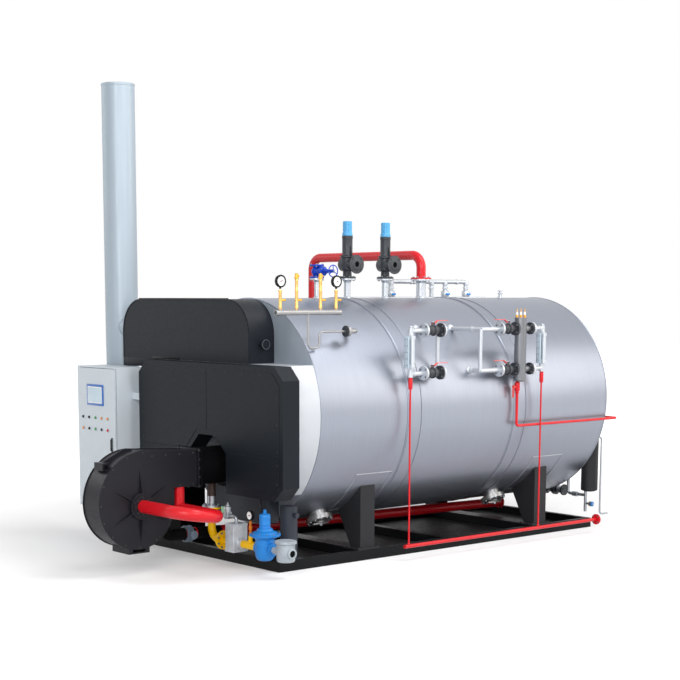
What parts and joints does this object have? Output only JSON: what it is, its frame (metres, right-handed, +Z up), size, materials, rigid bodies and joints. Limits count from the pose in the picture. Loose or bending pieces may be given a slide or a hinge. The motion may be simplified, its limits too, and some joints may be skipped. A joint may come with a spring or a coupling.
{
  "type": "industrial steam boiler",
  "caption": "Horizontal fire-tube steam boiler on a skid with gas burner, gas train, chimney, control cabinet, safety valves, level gauges and drains.",
  "frame": {"origin": "middle of the skid's underside, on the floor under the shell's axis", "axes": "+X to the boiler's right side as seen facing the burner, +Y along the shell from the burner end to the rear end, +Z up"},
  "size_m": [3.9578, 6.995, 5.4],
  "materials": {
    "cladding": "satin",
    "end_plates": "satin",
    "black_paint": "satin",
    "slate_paint": "satin",
    "skid_paint": "satin",
    "chimney_paint": "satin",
    "cabinet_paint": "satin",
    "red_paint": "gloss",
    "yellow_paint": "gloss",
    "blue_paint": "gloss",
    "valve_blue_paint": "gloss",
    "cap_blue_paint": "gloss",
    "white_metal": "satin",
    "valve_grey": "satin",
    "damper_grey": "satin",
    "brass": "satin",
    "gauge_black": "gloss"
  },
  "bodies": {
    "boiler": {"skid_side_rails": "skid_paint", "skid_end_rails": "skid_paint", "skid_outrigger": "skid_paint", "skid_cross_beams": "skid_paint", "skid_deck": "skid_paint", "saddle_legs": "black_paint", "shell": "cladding", "front_plate": "end_plates", "rear_plate": "end_plates", "front_casing": "cladding", "lower_casing": "slate_paint", "hood_leg": "black_paint", "front_hood": "black_paint", "flue_box": "black_paint", "chimney": "chimney_paint", "cabinet_body": "cabinet_paint", "cabinet_arms": "cabinet_paint", "burner_housing": "black_paint", "burner_motor": "black_paint", "burner_head": "black_paint", "return_loop_pipe": "red_paint", "return_under_pipe": "red_paint", "return_damper": "damper_grey", "gas_riser": "white_metal", "gas_pipes": "yellow_paint", "gas_valve_block": "white_metal", "pilot_gas_valve": "white_metal", "gas_regulator": "blue_paint", "gas_filter": "white_metal", "upright_pipe": "black_paint", "gauge_manifold": "white_metal", "gauge_cocks": "brass", "pressure_gauges": "gauge_black", "top_nozzles": "white_metal", "steam_pipe": "red_paint", "safety_valves": "valve_grey", "safety_valve_caps": "cap_blue_paint", "globe_valve": "valve_blue_paint", "feed_pipes": "white_metal", "level_pipes": "white_metal", "level_gauges": "cabinet_paint", "level_ball_valves": "valve_grey", "electrode_column": "valve_grey", "electrode_drain_pipe": "red_paint", "drain_header": "red_paint", "gauge_drains": "red_paint", "handholes": "white_metal", "rear_tank": "black_paint", "rear_pipes": "white_metal", "blowdown_valves": "valve_grey"},
    "cabinet_door": {"cabinet_door": "cabinet_paint"},
    "globe_handwheel": {"globe_handwheel": "valve_blue_paint"},
    "lever_upper_front": {"lever_upper_front": "red_paint"},
    "lever_lower_front": {"lever_lower_front": "red_paint"},
    "lever_upper_rear": {"lever_upper_rear": "red_paint"},
    "lever_lower_rear": {"lever_lower_rear": "red_paint"},
    "lever_electrode_drain": {"lever_electrode_drain": "red_paint"}
  },
  "joints": [
    {"name": "cabinet_door_hinge", "type": "hinge", "parent": "boiler", "child": "cabinet_door", "pos_m": [-2.343, -2.941, 1.256], "axis": [0, 0, -1], "range_deg": [0, 110]},
    {"name": "globe_handwheel_turn", "type": "hinge", "parent": "boiler", "child": "globe_handwheel", "pos_m": [0.285, -1.19, 3.191], "axis": [1, 0, 0], "continuous": true},
    {"name": "lever_upper_front_turn", "type": "hinge", "parent": "boiler", "child": "lever_upper_front", "pos_m": [1.34, -0.645, 2.61], "axis": [0, 0, 1], "range_deg": [-90, 0]},
    {"name": "lever_lower_front_turn", "type": "hinge", "parent": "boiler", "child": "lever_lower_front", "pos_m": [1.34, -0.645, 2.143], "axis": [0, 0, 1], "range_deg": [-90, 0]},
    {"name": "lever_upper_rear_turn", "type": "hinge", "parent": "boiler", "child": "lever_upper_rear", "pos_m": [1.34, 0.56, 2.61], "axis": [0, 0, 1], "range_deg": [0, 90]},
    {"name": "lever_lower_rear_turn", "type": "hinge", "parent": "boiler", "child": "lever_lower_rear", "pos_m": [1.34, 0.56, 2.143], "axis": [0, 0, 1], "range_deg": [0, 90]},
    {"name": "lever_electrode_drain_turn", "type": "hinge", "parent": "boiler", "child": "lever_electrode_drain", "pos_m": [1.306, 0.71, 1.866], "axis": [0, 1, 0], "range_deg": [-90, 0]}
  ]
}
